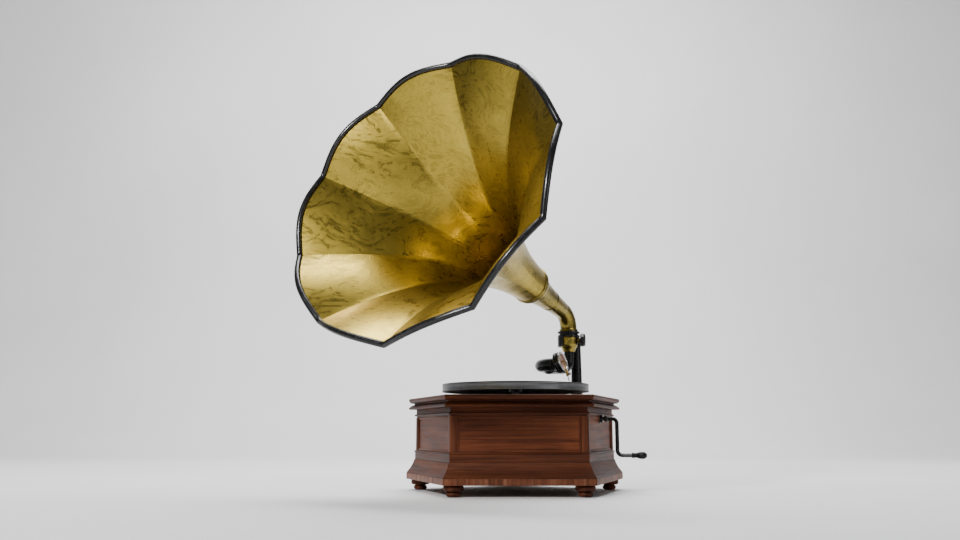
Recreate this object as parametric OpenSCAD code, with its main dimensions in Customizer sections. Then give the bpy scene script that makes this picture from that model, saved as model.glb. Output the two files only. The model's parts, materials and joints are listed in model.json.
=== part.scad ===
// Wind-up phonograph: a five-sided wooden case with a spring motor, a turntable,
// a tone arm and a ten-petal brass horn on a cast bracket.
// Millimetres, +Z up, the front of the case faces -Y, the feet stand on Z = 0.

/* [Case] */
// Side of the five-sided plinth at its widest
plinth_side = 237.5; // [230:0.5:250]
// Side of the five-sided case wall
wall_side = 217; // [212:0.5:224]
// Side of the five-sided lid
lid_side = 233.5; // [230:0.5:240]
// Height of the turned feet
foot_h = 18.5; // [14:0.5:24]
// Height of the banded base
band_h = 10; // [8:0.5:14]
// Height of the sloping plinth
plinth_h = 24; // [20:0.5:30]
// Height of the base rail
rail_h = 16.5; // [12:0.5:20]
// Height of the side panels
panel_h = 56; // [50:0.5:70]
// Height of the frieze rail under the cornice
frieze_h = 14; // [12:0.5:18]
// Height of the cornice moulding
cornice_h = 9; // [8:0.5:12]
// Thickness of the lid that carries the motor
lid_h = 10.4; // [9:0.1:14]
// Thickness of the case walls
wall_t = 12; // [10:0.5:14]
// Radius of the disc on each foot
foot_r = 16.3; // [14:0.1:18]

/* [Turntable] */
// Radius of the turntable
table_r = 127; // [120:0.5:130]
// Depth of the turntable's rim
table_h = 11.9; // [10:0.1:14]
// Thickness of the felt
felt_t = 1.5; // [1:0.1:3]
// Gap between the lid and the turntable's rim
table_gap = 9.4; // [8:0.1:14]
// Radius of the record pin
pin_r = 3.6; // [3.4:0.05:3.65]
// Height of the record pin over the felt
pin_h = 6.5; // [5:0.1:10]

/* [Horn] */
// Distance from rim cusp to horn axis, at the middle of the rim roll
mouth_r = 243; // [235:0.5:250]
// Radius of the rolled rim
roll_r = 5; // [4:0.1:6]
// Length of the bell, from its throat to the plane of the cusps
bell_l = 315; // [310:1:320]
// Radius of the bell's throat
throat_r = 33; // [32:0.5:34]
// Number of petals
petals = 10; // [10:1:10]
// How far each petal's middle stands forward of its cusps at the mouth
petal_wave = 16; // [8:0.5:20]
// Thickness of the horn sheet
sheet_t = 0.8; // [0.8:0.1:1.2]
// Elevation of the horn's axis
horn_el = 18; // [17.5:0.1:18.5]
// Heading of the horn, counter-clockwise from +X
horn_az = -126; // [-130:0.5:-122]

/* [Tone arm] */
// Distance from the swivel to the needle's tip
arm_reach = 126; // [125.5:0.1:126.5]
// Lean of the sound box from upright
box_lean = 15; // [14:0.5:16]
// Radius of the sound box
box_r = 18; // [17:0.5:19]

/* [Crank] */
// Radius of the crank's rod
rod_r = 3.3; // [3:0.1:3.5]
// Distance from the winding axis to the handle
crank_throw = 60; // [55:1:61]

/* [Hidden] */
$fn = 48;
// Small gap between pieces of different bodies, and radial clearance of a running fit
gap = 0.3;
run = 0.05;
// The case's middle, placed so that the whole object's box is centred on the origin
case_x = 73;
case_y = 117;

// Levels of the case, from the floor up
z_band = foot_h;
z_plinth = z_band + band_h;
z_rail = z_plinth + plinth_h;
z_panel = z_rail + rail_h;
z_frieze = z_panel + panel_h;
z_cornice = z_frieze + frieze_h;
z_lid = z_cornice + cornice_h;
z_top = z_lid + lid_h;

// Levels of the turntable
z_table = z_top + table_gap;
z_plate = z_table + table_h;
z_felt = z_plate + felt_t;

// The regular pentagon: five equal sides, one of them to the front
sides = 5;
turn = 360 / sides;
function circum(side) = side / (2 * sin(180 / sides));
function apothem(side) = side / (2 * tan(180 / sides));
inner_side = wall_side - 2 * wall_t * tan(180 / sides);
foot_ring_r = 175;
post_w = 11;
panel_recess = 3;
panel_t = 8;

// Motor: the winding face's heading, and the places of its vertical shafts
motor_az = -18;
gear_m = 1;
barrel_teeth = 90;
pinion_teeth = 15;
wheel_teeth = 75;
spindle_teeth = 80;
governor_teeth = 12;
winding_teeth = 12;
contrate_teeth = 48;
function pitch_r(n) = n * gear_m / 2;
barrel_x = 62;
bearing_x = 96;
idler_d = pitch_r(wheel_teeth) + pitch_r(pinion_teeth);
idler_b = pitch_r(barrel_teeth) + pitch_r(pinion_teeth);
idler_x = (idler_d * idler_d - idler_b * idler_b + barrel_x * barrel_x) / (2 * barrel_x);
idler_y = sqrt(idler_d * idler_d - idler_x * idler_x);
governor_d = pitch_r(spindle_teeth) + pitch_r(governor_teeth);
governor_az = 140;
governor_x = governor_d * cos(governor_az);
governor_y = governor_d * sin(governor_az);
plate_t = 3;
z_bottom_plate = 40;
z_top_plate = 104;
plate_x0 = -62;
plate_x1 = 112;
plate_y1 = 60;
pillar_inset = 8;
z_spindle_wheel = 46;
z_idler_wheel = 53;
z_idler_pinion = 66;
z_barrel = 60;
barrel_h = 38;
barrel_r = 42;
gear_t = 4;
pinion_t = 7;
arbor_r = 4;
shaft_r = 2.5;
spindle_r = 5;
hub_r = 4;
z_ratchet = z_top_plate + plate_t + 1;
z_contrate = z_ratchet + 4;
z_winding = z_panel + 53;
contrate_r = pitch_r(contrate_teeth);

// Bracket, swivel and tone arm: the swivel's axis and the post behind it
swivel_x = 101.5;
swivel_y = 79;
post_x = 116.5;
post_y = 97;
z_swivel = 244;
cup_h = 27;
collar_h = 10;
ledge_h = 13;
clamp_h = 22;
clamp_az = -8;
clamp_r = 2.1;
spigot_r = 14.3;
neck_r = 9;
z_collar = z_swivel + cup_h + gap;
z_collar_top = z_collar + collar_h;

// Tone arm: the heading of its first leg, the bend's radius and the tube's level
leg_az = -135;
bend_r = 45;
leg_l = 60.8;
bend_turn = 107;
z_arm = 214;
tube_r = 10.6;
sleeve_l = 14;
arm_wall = 1.2;
elbow_r = 16;
z_elbow = z_arm + elbow_r;
leg_r = 12.6;
arm_flange_r = 12.3;
arm_flange_z = z_swivel + ledge_h + gap;
arm_flange_t = 1.6;
bend_x0 = swivel_x + leg_l * cos(leg_az);
bend_y0 = swivel_y + leg_l * sin(leg_az);
bend_cx = bend_x0 + bend_r * cos(leg_az + 90);
bend_cy = bend_y0 + bend_r * sin(leg_az + 90);
box_az = leg_az + bend_turn;
// The needle's tip touches down just over the felt
tip_az = -95.2;
tip_x = swivel_x + arm_reach * cos(tip_az);
tip_y = swivel_y + arm_reach * sin(tip_az);
tip_z = z_felt + gap;
needle_l = 38.4;
needle_z = 2;
box_t = 12;

// Horn: the middle of the mouth, and the elbow that turns down into the swivel
elbow_bend_r = 35;
elbow_turn = 90 - horn_el;
elbow_tube_r = 15;
lip_r = 17;
z_lip = 286;
elbow_tangent = elbow_bend_r * tan(elbow_turn / 2);
z_axes_meet = z_lip + elbow_tangent;
mouth_d = 430;
mouth_x = swivel_x + mouth_d * cos(horn_az);
mouth_y = swivel_y + mouth_d * sin(horn_az);
mouth_z = z_axes_meet + mouth_d * tan(horn_el);
elbow_start = mouth_d / cos(horn_el) - elbow_tangent;
neck_l = 70;
neck_end_r = 18.3;

// Speed knob and brake lever, on the lid behind and beside the turntable
knob_x = -108;
knob_y = 79;
cam_r = 3.2;
cam_throw = 0.6;
brake_r = 149.5;
brake_az = 100;
brake_reach = 21.5;
// The regulator lever lies in a frame at the governor, with +X towards the speed knob
lever_az = 137.6;
lever_y = 23.85;
lever_w = 4;
lever_pivot_x = 36;
lever_end = 90;
disc_r = 16;
z_disc = 94;
screw_head_r = 4;
escutcheon_r = 8;
shaft_hole_r = 6.5;
flange_r = 13;
flange_t = 4;
ear_r = 6.5;
ear_d = 17;
ear_az = [-36, 144];

// Crank: where its parts stand along the winding axis, from the case's middle
wall_out = apothem(wall_side);
crank_out = wall_out + 26;
handle_in = wall_out + 50;
handle_out = wall_out + 73;

petal_names = [for (k = [1:petals]) k < 10 ? str("petal_0", k) : str("petal_", k)];

// ---- placing ----
module in_case() { translate([case_x, case_y, 0]) children(); }
module in_motor() { in_case() rotate(motor_az) children(); }
module at_swivel() { in_case() translate([swivel_x, swivel_y, 0]) children(); }
// The horn's own frame: +Z out of the mouth, +X down to the lowest cusp
module in_horn() {
    in_case() translate([mouth_x, mouth_y, mouth_z]) rotate([0, 90 - horn_el, horn_az]) children();
}
// The sound box's own frame: +Z out of its face, +X down along the needle
module in_box() {
    in_case() translate([tip_x, tip_y, tip_z]) rotate([0, 90 - box_lean, box_az])
        translate([-needle_l, 0, -needle_z]) children();
}
// The winding axis: +Z out through the case wall
module on_winding_axis(out) {
    in_motor() translate([out, 0, z_winding]) rotate([0, 90, 0]) children();
}

// ---- shapes used more than once ----
module five_sided(side, h) { rotate(18) cylinder(r = circum(side), h = h, $fn = sides); }
module five_sloping(side1, side2, h) {
    rotate(18) cylinder(r1 = circum(side1), r2 = circum(side2), h = h, $fn = sides);
}
module five_ring(side, inner, h) {
    difference() {
        five_sided(side, h);
        translate([0, 0, -1]) five_sided(inner, h + 2);
    }
}
module on_each_side() { for (k = [0:sides - 1]) rotate(k * turn - 90) children(); }
module on_each_corner(r) { for (k = [0:sides - 1]) rotate(k * turn - 54) translate([r, 0, 0]) children(); }

// Tube with a round wall, closed at neither end
module tube(r, wall, h) {
    difference() {
        cylinder(r = r, h = h);
        translate([0, 0, -1]) cylinder(r = r - wall, h = h + 2);
    }
}

// Bent tube, faceted, closed at neither end. A ring of it stands at an angle round the bend, or a length
// along the straight before or after, and has its own radius.
facets = 20;
function ring_at(bend, at, along, r) = [for (k = [0:facets - 1])
    let (a = (k + 0.5) * 360 / facets, x = bend + r * cos(a))
    [x * cos(at) - along * sin(at), x * sin(at) + along * cos(at), r * sin(a)]];
function bend_rings(bend, from, to, steps, r) =
    [for (i = [0:steps]) each ring_at(bend, from + (to - from) * i / steps, 0, r)];
module ringed(points) {
    rings = len(points) / facets;
    polyhedron(points = points, faces = [for (i = [0:rings - 1], k = [0:facets - 1])
        let (j = (i + 1) % rings, l = (k + 1) % facets)
        [i * facets + k, i * facets + l, j * facets + l, j * facets + k]]);
}

// Spur gear outline with a tooth centred at angle at
function gear_points(n, at) = [for (k = [0:n - 1], q = [[-0.28, -1.15], [-0.13, 0.85], [0.13, 0.85], [0.28, -1.15]])
    let (a = at + (k + q[0]) * 360 / n, r = pitch_r(n) + q[1] * gear_m) [r * cos(a), r * sin(a)]];
module gear(n, h, bore, at = 0) {
    linear_extrude(height = h) difference() {
        polygon(gear_points(n, at));
        circle(r = bore);
    }
}

// ---- case ----
module feet() {
    color("#3a1c10") in_case() on_each_corner(foot_ring_r) rotate_extrude() polygon([
        [0, 0], [7, 0], [9.5, 0.8], [11.3, 2.5], [11.9, 4.5], [11.3, 6.5], [9.5, 8.2], [9, 9],
        [foot_r - 2, 9.2], [foot_r, 11], [foot_r, 16], [foot_r - 2, foot_h], [0, foot_h]]);
}
module base_board() {
    color("#5b3a22") in_case() translate([0, 0, z_band]) five_sided(inner_side, 8);
}
module base_band() {
    color("#8a5230") in_case() translate([0, 0, z_band]) five_ring(plinth_side, inner_side, band_h);
}
module plinth() {
    color("#5a2614") in_case() translate([0, 0, z_plinth]) difference() {
        five_sloping(plinth_side, wall_side + 3, plinth_h);
        translate([0, 0, -1]) five_sided(inner_side, plinth_h + 2);
    }
}
module base_rail() {
    color("#5a2614") in_case() translate([0, 0, z_rail]) {
        five_ring(wall_side + 1.5, inner_side, rail_h - 3.5);
        translate([0, 0, rail_h - 3.5]) five_ring(wall_side + 4, inner_side, 2.5);
        translate([0, 0, rail_h - 1]) five_ring(wall_side, inner_side, 1);
    }
}
// One post at each corner: the corner of the wall, cut off on both sides of the panel
module corner_posts() {
    color("#6a2c17") in_case() translate([0, 0, z_panel]) difference() {
        five_ring(wall_side, inner_side, panel_h);
        on_each_side() translate([0, -(wall_side / 2 - post_w), -1])
            cube([apothem(wall_side) + 5, wall_side - 2 * post_w, panel_h + 2]);
    }
}
module side_panels() {
    color("#7a3319") in_case() translate([0, 0, z_panel]) for (k = [0:sides - 1]) rotate(k * turn - 90)
        difference() {
            translate([wall_out - panel_recess - panel_t, -(wall_side / 2 - post_w), 0])
                cube([panel_t, wall_side - 2 * post_w, panel_h]);
            if (k == 1) translate([wall_out - 20, 0, z_winding - z_panel]) rotate([0, 90, 0])
                cylinder(r = shaft_hole_r, h = 30);
        }
}
// The rail under the cornice, let out round the crank's plate and its shaft
module frieze_rail() {
    color("#5a2614") difference() {
        in_case() translate([0, 0, z_frieze]) {
            five_ring(wall_side - 2, inner_side, 2);
            translate([0, 0, 2]) five_ring(wall_side + 3, inner_side, 4);
            translate([0, 0, 6]) five_ring(wall_side - 1, inner_side, frieze_h - 6);
        }
        on_winding_axis(wall_out - 20) cylinder(r = shaft_hole_r, h = 30);
        on_winding_axis(wall_out - panel_recess - gap) cylinder(r = escutcheon_r + gap, h = 20);
    }
}
module cornice() {
    color("#5a2614") in_case() translate([0, 0, z_cornice]) difference() {
        union() {
            five_sided(lid_side, 4);
            translate([0, 0, 4]) five_sloping(lid_side - 1, wall_side + 4, cornice_h - 4);
        }
        translate([0, 0, -1]) five_sided(inner_side, cornice_h + 2);
    }
}
module motor_board() {
    color("#4d2012") in_case() translate([0, 0, z_lid]) difference() {
        union() {
            five_sided(wall_side + 4, 1.5);
            translate([0, 0, 1.4]) five_sided(lid_side - 4, 2);
            translate([0, 0, 3.3]) five_sided(lid_side - 2, 2);
            translate([0, 0, 5.2]) five_sided(lid_side, lid_h - 5.2);
        }
        translate([0, 0, -1]) cylinder(r = 9, h = lid_h + 2);
        translate([knob_x, knob_y, -1]) cylinder(r = cam_r + cam_throw + gap, h = lid_h + 2);
    }
}
// Low-headed wood screws: one near each corner of the lid, two in the bracket's foot
module wood_screw(r) {
    difference() {
        rotate_extrude() polygon([[0, 0], [r, 0], [r * 0.9, 0.4], [r * 0.5, 0.9], [0, 1.1]]);
        translate([-r - 1, -0.4, 0.6]) cube([2 * r + 2, 0.8, 2]);
    }
}
module wood_screws() {
    color("#b08a3c") in_case() {
        on_each_corner(circum(lid_side) - 26) translate([0, 0, z_top]) wood_screw(screw_head_r);
        for (a = ear_az) translate([post_x, post_y, z_top + flange_t]) rotate(a)
            translate([ear_d, 0, 0]) wood_screw(3);
    }
}
module crank_escutcheon() {
    color("#8a6a2c") on_winding_axis(wall_out - panel_recess) difference() {
        union() {
            cylinder(r = escutcheon_r, h = 2);
            translate([0, 0, 2]) cylinder(r = 6.5, h = 4);
        }
        translate([0, 0, -1]) cylinder(r = rod_r + 0.6, h = 10);
    }
}

// ---- spring motor ----
module motor_plate(h) {
    translate([plate_x0, -plate_y1, 0]) cube([plate_x1 - plate_x0, 2 * plate_y1, h]);
}
module pillar_places() {
    for (x = [plate_x0 + pillar_inset, plate_x1 - pillar_inset], y = [-1, 1])
        translate([x, y * (plate_y1 - pillar_inset), 0]) children();
}
module motor_top_plate() {
    color("#8c8c90") in_motor() translate([0, 0, z_top_plate]) difference() {
        union() {
            motor_plate(plate_t);
            translate([bearing_x, -9, 0]) cube([8, 18, z_winding - z_top_plate + 9]);
        }
        translate([bearing_x - 1, 0, z_winding - z_top_plate]) rotate([0, 90, 0])
            cylinder(r = arbor_r + run, h = 10);
        translate([0, 0, -1]) cylinder(r = spindle_r + run, h = plate_t + 2);
        translate([barrel_x, 0, -1]) cylinder(r = arbor_r + run, h = plate_t + 2);
        translate([idler_x, idler_y, -1]) cylinder(r = shaft_r + run, h = plate_t + 2);
        translate([governor_x, governor_y, -1]) cylinder(r = shaft_r + run, h = plate_t + 2);
    }
}
module motor_bottom_plate() {
    color("#8c8c90") in_motor() translate([0, 0, z_bottom_plate - plate_t]) difference() {
        motor_plate(plate_t);
        translate([0, 0, 1]) cylinder(r = spindle_r + run, h = plate_t);
        translate([barrel_x, 0, 1]) cylinder(r = arbor_r + run, h = plate_t);
        translate([idler_x, idler_y, 1]) cylinder(r = shaft_r + run, h = plate_t);
        translate([governor_x, governor_y, 1]) cylinder(r = shaft_r + run, h = plate_t);
    }
}
module motor_pillars() {
    color("#a9a9ac") in_motor() pillar_places() {
        translate([0, 0, z_bottom_plate]) cylinder(r = 4, h = z_top_plate - z_bottom_plate);
        translate([0, 0, z_top_plate + plate_t]) cylinder(r = 4, h = z_lid - z_top_plate - plate_t);
    }
}
module spring_barrel() {
    color("#b0903c") in_motor() translate([barrel_x, 0, z_barrel]) {
        difference() {
            union() {
                cylinder(r = barrel_r, h = barrel_h - 2);
                translate([0, 0, z_idler_pinion - z_barrel + 1])
                    gear(barrel_teeth, gear_t, barrel_r - 2, 180 - barrel_mesh + 180 / barrel_teeth);
            }
            translate([0, 0, 2]) cylinder(r = barrel_r - 2, h = barrel_h);
            translate([0, 0, -1]) cylinder(r = arbor_r + run, h = 5);
        }
    }
}
// Heading of the line from the barrel's middle to the intermediate gear, measured back from -X
barrel_mesh = atan2(idler_y, barrel_x - idler_x);
idler_mesh = atan2(idler_y, idler_x);
module barrel_cover() {
    color("#c2a24a") in_motor() translate([barrel_x, 0, z_barrel + barrel_h - 2]) difference() {
        cylinder(r = barrel_r, h = 2);
        translate([0, 0, -1]) cylinder(r = arbor_r + run, h = 4);
    }
}
// The mainspring: a flat spiral strip from the arbor out to the barrel's wall
spring_turns = 7;
spring_r0 = 12;
spring_r1 = barrel_r - 4;
spring_strip = 1;
function spiral(r_off) = [for (a = [0:15:360 * spring_turns])
    let (r = spring_r0 + (spring_r1 - spring_r0) * a / (360 * spring_turns) + r_off) [r * cos(a), r * sin(a)]];
function reversed(list) = [for (k = [len(list) - 1:-1:0]) list[k]];
module mainspring() {
    color("#4a4e58") in_motor() translate([barrel_x, 0, z_barrel + 3]) linear_extrude(height = barrel_h - 7)
        polygon(concat(spiral(0), reversed(spiral(spring_strip))));
}
module barrel_arbor() {
    color("#a9a9ac") in_motor() translate([barrel_x, 0, 0]) {
        translate([0, 0, z_bottom_plate - plate_t + 1 + gap])
            cylinder(r = arbor_r, h = z_contrate + 5 - z_bottom_plate + plate_t - 1 - gap);
        translate([0, 0, z_barrel + 3]) tube(spring_r0 - 2, spring_r0 - 2 - arbor_r, barrel_h - 7);
    }
}
// Saw-tooth wheel that the pawl holds
ratchet_teeth = 16;
ratchet_r = 15;
ratchet_at = 7.5;
function ratchet_points() = [for (k = [0:ratchet_teeth - 1], q = [[0, -2.5], [0.12, 0]])
    let (a = ratchet_at + (k + q[0]) * 360 / ratchet_teeth, r = ratchet_r + q[1]) [r * cos(a), r * sin(a)]];
module ratchet_wheel() {
    color("#8f9095") in_motor() translate([barrel_x, 0, z_ratchet]) linear_extrude(height = 2.5) difference() {
        polygon(ratchet_points());
        circle(r = arbor_r);
    }
}
pawl_d = 22;
pawl_l = 15.4;
// Pawl, drawn just lifted clear of the teeth
module pawl() {
    color("#777a80") in_motor() translate([barrel_x, -pawl_d, z_ratchet]) {
        cylinder(r = 3.5, h = 2.5);
        rotate(135) translate([0, -0.1, 0]) cube([pawl_l, 3, 2.5]);
    }
}
// Crown wheel with upright teeth, driven by the pinion on the winding shaft
module contrate_wheel() {
    color("#b0903c") in_motor() translate([barrel_x, 0, z_contrate]) {
        difference() {
            cylinder(r = contrate_r + 2.5, h = 1.6);
            translate([0, 0, -1]) cylinder(r = arbor_r, h = 4);
        }
        for (k = [0:contrate_teeth - 1]) rotate((k + 0.5) * 360 / contrate_teeth)
            translate([contrate_r - 2.5, -0.45, 1.4])
                cube([4.8, 0.9, z_winding - z_contrate - 0.8 - pitch_r(winding_teeth)]);
    }
}
module intermediate_gear() {
    color("#b0903c") in_motor() translate([idler_x, idler_y, 0]) {
        translate([0, 0, z_idler_wheel])
            gear(wheel_teeth, gear_t, shaft_r, 180 + idler_mesh + 180 / wheel_teeth);
        translate([0, 0, z_idler_wheel + gear_t]) cylinder(r = 5, h = z_idler_pinion - z_idler_wheel - gear_t);
        translate([0, 0, z_idler_pinion]) gear(pinion_teeth, pinion_t, shaft_r, -barrel_mesh);
        translate([0, 0, z_bottom_plate - plate_t + 1 + gap])
            cylinder(r = shaft_r, h = z_top_plate + plate_t - z_bottom_plate + plate_t - 1);
    }
}
module spindle() {
    color("#c8c8cc") in_case() {
        translate([0, 0, z_bottom_plate - plate_t + 1 + gap])
            cylinder(r = spindle_r, h = z_table - z_bottom_plate + plate_t - 1 - gap);
        translate([0, 0, z_table]) cylinder(r = hub_r, h = table_h + felt_t);
        translate([0, 0, z_felt]) cylinder(r = pin_r, h = pin_h - 1);
        translate([0, 0, z_felt + pin_h - 1]) cylinder(r1 = pin_r, r2 = pin_r - 1, h = 1);
    }
}
module spindle_gear() {
    color("#b0903c") in_motor() {
        translate([0, 0, z_spindle_wheel])
            gear(spindle_teeth, gear_t, spindle_r, governor_az + 180 / spindle_teeth);
        translate([0, 0, z_spindle_wheel + gear_t]) tube(6, 1, z_idler_wheel - 1 - z_spindle_wheel - gear_t);
        translate([0, 0, z_idler_wheel - 1]) gear(pinion_teeth, pinion_t - 1, spindle_r, idler_mesh);
    }
}
// Fly-weight governor: pinion, shaft, three sprung weights and the brake disc
module at_governor() { in_motor() translate([governor_x, governor_y, 0]) children(); }
module governor_shaft() {
    color("#c8c8cc") at_governor() {
        translate([0, 0, z_bottom_plate - plate_t + 1 + gap])
            cylinder(r = shaft_r, h = z_top_plate + plate_t - z_bottom_plate + plate_t - 1);
        translate([0, 0, z_spindle_wheel - 1]) gear(governor_teeth, gear_t + 2, shaft_r, governor_az + 180);
        translate([0, 0, 56]) cylinder(r = 6, h = 4);
        translate([0, 0, 90]) cylinder(r = 6, h = 3);
    }
}
module governor_weights() {
    color("#a4813a") at_governor() for (k = [0:2]) rotate(k * 120) {
        translate([14, 0, 72]) sphere(r = 5.5);
        translate([6, -2, 57]) cube([5, 4, 1]);
        translate([10.2, -2, 57]) cube([0.8, 4, 34.5]);
        translate([6, -2, 90.8]) cube([5, 4, 1]);
    }
}
module governor_disc() {
    color("#8f9095") at_governor() translate([0, 0, z_disc]) tube(disc_r, disc_r - shaft_r, 2);
}
// Lever with a pad at the rim of the governor's disc; the speed knob's cam moves its far end
module regulator_lever() {
    color("#777a80") at_governor() rotate(lever_az - motor_az) translate([0, 0, z_disc]) {
        translate([-4, lever_y - lever_w, 0]) cube([lever_end + 4, lever_w, 2]);
        translate([-4, disc_r + 0.5, 0]) cube([8, lever_y - lever_w - disc_r - 0.5, 2]);
        translate([lever_pivot_x, lever_y - lever_w / 2, 0]) cylinder(r = 1.8, h = z_top_plate - z_disc - gap);
    }
}
module speed_knob() {
    color("#b08a3c") in_case() translate([knob_x, knob_y, 0]) {
        translate([0, 0, z_top + gap]) cylinder(r = 7, h = 3);
        translate([0, 0, z_top + gap + 3]) cylinder(r1 = 7, r2 = 6, h = 1);
        translate([0, 0, z_disc - 1]) cylinder(r = cam_r - cam_throw, h = z_top + gap - z_disc + 1);
        rotate(lever_az) translate([0, cam_throw, z_disc - 1]) cylinder(r = cam_r, h = 5);
    }
}
module winding_shaft() {
    color("#a9a9ac") {
        on_winding_axis(barrel_x + contrate_r - 5) gear(winding_teeth, 9, 2, 0);
        on_winding_axis(barrel_x + contrate_r - 5) cylinder(r = 2, h = 9);
        on_winding_axis(barrel_x + contrate_r + 4) cylinder(r = arbor_r, h = wall_out - panel_recess - 14 - barrel_x - contrate_r - 4);
    }
}
module crank() {
    color("#1a1a1c") {
        on_winding_axis(wall_out - panel_recess - 14) cylinder(r = rod_r, h = crank_out - wall_out + panel_recess + 14 - 8);
        on_winding_axis(crank_out - 8) translate([8, 0, 0]) rotate([90, 0, 0]) rotate(90)
            rotate_extrude(angle = 90) translate([8, 0]) circle(r = rod_r);
        on_winding_axis(crank_out) translate([8, 0, 0]) rotate([0, 90, 0]) cylinder(r = rod_r, h = crank_throw - 16);
        on_winding_axis(crank_out + 8) translate([crank_throw - 8, 0, 0]) rotate([90, 0, 0]) rotate(-90)
            rotate_extrude(angle = 90) translate([8, 0]) circle(r = rod_r);
        on_winding_axis(crank_out + 8) translate([crank_throw, 0, 0]) cylinder(r = rod_r, h = handle_in - crank_out - 8 - gap);
        on_winding_axis(handle_in - gap) translate([crank_throw, 0, 0]) cylinder(r = 2.4, h = handle_out - handle_in + 1);
        on_winding_axis(handle_out + gap) translate([crank_throw, 0, 0]) cylinder(r = 3.4, h = 1.4);
    }
}
module crank_handle() {
    color("#141414") on_winding_axis(handle_in) translate([crank_throw, 0, 0]) rotate_extrude() polygon([
        [2.4 + run, 0], [4.4, 0], [4.8, 1.5], [4.2, 4], [3.9, 7], [5, 10], [5.9, 14], [6, 18], [5.2, 21.5],
        [4, 23], [2.4 + run, 23]]);
}

// ---- turntable ----
module turntable() {
    color("#9a9c9e") in_case() translate([0, 0, z_table]) rotate_extrude() polygon([
        [hub_r + run, 0.3], [11, 0.3], [11, table_h - 1.6], [table_r - 1.6, table_h - 1.6], [table_r - 1.6, 0],
        [table_r, 0], [table_r, table_h], [hub_r + run, table_h]]);
}
module turntable_felt() {
    color("#161616") in_case() translate([0, 0, z_plate]) tube(table_r - 0.4, table_r - 0.4 - hub_r - run, felt_t);
}
// Brake: a pad that meets the turntable's rim, on a lever with a finger tab
module brake_lever() {
    color("#b08a3c") in_case() rotate(brake_az) translate([brake_r, 0, z_top + gap]) {
        cylinder(r = 5, h = 3);
        translate([0, 0, 3]) cylinder(r = 3, h = 3);
        translate([-brake_reach + 4, -2.5, 0]) cube([brake_reach - 4, 5, 3]);
        translate([-brake_reach, -4, 0]) cube([4.5, 8, 14]);
        translate([-2.5, 0, 0]) cube([5, 16, 3]);
        translate([0, 16, 0]) cylinder(r = 3.5, h = 8);
    }
}

// ---- bracket, throat cup and clamp ----
module bracket() {
    color("#1b1b1d") difference() {
        union() {
            in_case() translate([post_x, post_y, z_top]) {
                cylinder(r = flange_r, h = flange_t);
                for (a = ear_az) rotate(a) {
                    translate([0, -ear_r, 0]) cube([ear_d, 2 * ear_r, flange_t]);
                    translate([ear_d, 0, 0]) cylinder(r = ear_r, h = flange_t);
                }
                translate([0, 0, flange_t - 0.5]) cylinder(r1 = 11, r2 = 8.5, h = z_collar - z_top - flange_t + 0.5);
            }
            at_swivel() translate([0, 0, z_collar - 18]) rotate(28) rotate_extrude(angle = 202)
                translate([17.7, 0]) square([2.6, 18.5]);
            at_swivel() translate([0, 0, z_collar]) {
                cylinder(r = 20.3, h = 3.4);
                cylinder(r = 17, h = collar_h);
                translate([0, 0, collar_h - 3.4]) cylinder(r = 20.3, h = 3.4);
            }
        }
        at_swivel() translate([0, 0, z_swivel - 12]) cylinder(r = 17.7, h = z_collar - z_swivel + 12);
        at_swivel() translate([0, 0, z_collar - 1]) cylinder(r = spigot_r + gap, h = collar_h + 2);
    }
}
// Brass cup held in the bracket's jaws; the tone arm hangs on its ledge
module throat_cup() {
    color("#b8963e") at_swivel() translate([0, 0, z_swivel]) difference() {
        union() {
            rotate_extrude() polygon([[neck_r + run, 0], [11, 0], [11.6, 3], [13, 6], [15.4, 10], [16.6, 14],
                [16.8, 23], [17.3, 24], [17.3, cup_h], [spigot_r + run, cup_h], [spigot_r + run, ledge_h],
                [neck_r + run, ledge_h]]);
            on_clamp_axis() translate([0, 0, 16]) cylinder(r = 4.6, h = 3.4);
        }
        on_clamp_axis() cylinder(r = clamp_r + run, h = 30);
    }
}
module on_clamp_axis() { translate([0, 0, clamp_h]) rotate([0, 90, clamp_az]) children(); }
module clamp_knob() {
    color("#1b1b1d") at_swivel() translate([0, 0, z_swivel]) on_clamp_axis() {
        translate([0, 0, spigot_r + gap]) cylinder(r = clamp_r, h = 6);
        translate([0, 0, 19.4 + gap]) cylinder(r = 4, h = 1.5);
        translate([0, 0, 21.2]) cylinder(r = 12, h = 7.5);
        translate([0, 0, 28.7]) cylinder(r1 = 12, r2 = 9.5, h = 2.5);
    }
}

// ---- tone arm ----
// The first leg runs along leg_az from the swivel; this frame has +X along it
module in_leg() { at_swivel() translate([0, 0, z_arm]) rotate(leg_az) children(); }
module tone_arm() {
    neck_l = arm_flange_z + arm_flange_t - z_elbow;
    cone_l = leg_l - elbow_r;
    inner_r = neck_r - arm_wall;
    bore_r = (tube_r + run) / cos(180 / facets);
    color("#161616") in_leg() translate([elbow_r, 0, elbow_r]) rotate([90, 0, 0]) rotate(180) ringed(concat(
        ring_at(elbow_r, 0, -neck_l, arm_flange_r),
        ring_at(elbow_r, 0, arm_flange_t - neck_l, arm_flange_r),
        ring_at(elbow_r, 0, arm_flange_t - neck_l, neck_r),
        bend_rings(elbow_r, 0, 90, 6, neck_r),
        ring_at(elbow_r, 90, 0.6, neck_r + 1.8),
        ring_at(elbow_r, 90, cone_l, leg_r),
        ring_at(elbow_r, 90, cone_l, bore_r),
        ring_at(elbow_r, 90, cone_l - sleeve_l, bore_r),
        ring_at(elbow_r, 90, cone_l - sleeve_l, inner_r),
        bend_rings(elbow_r, 90, 0, 6, inner_r),
        ring_at(elbow_r, 0, -neck_l, inner_r)));
}
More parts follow.
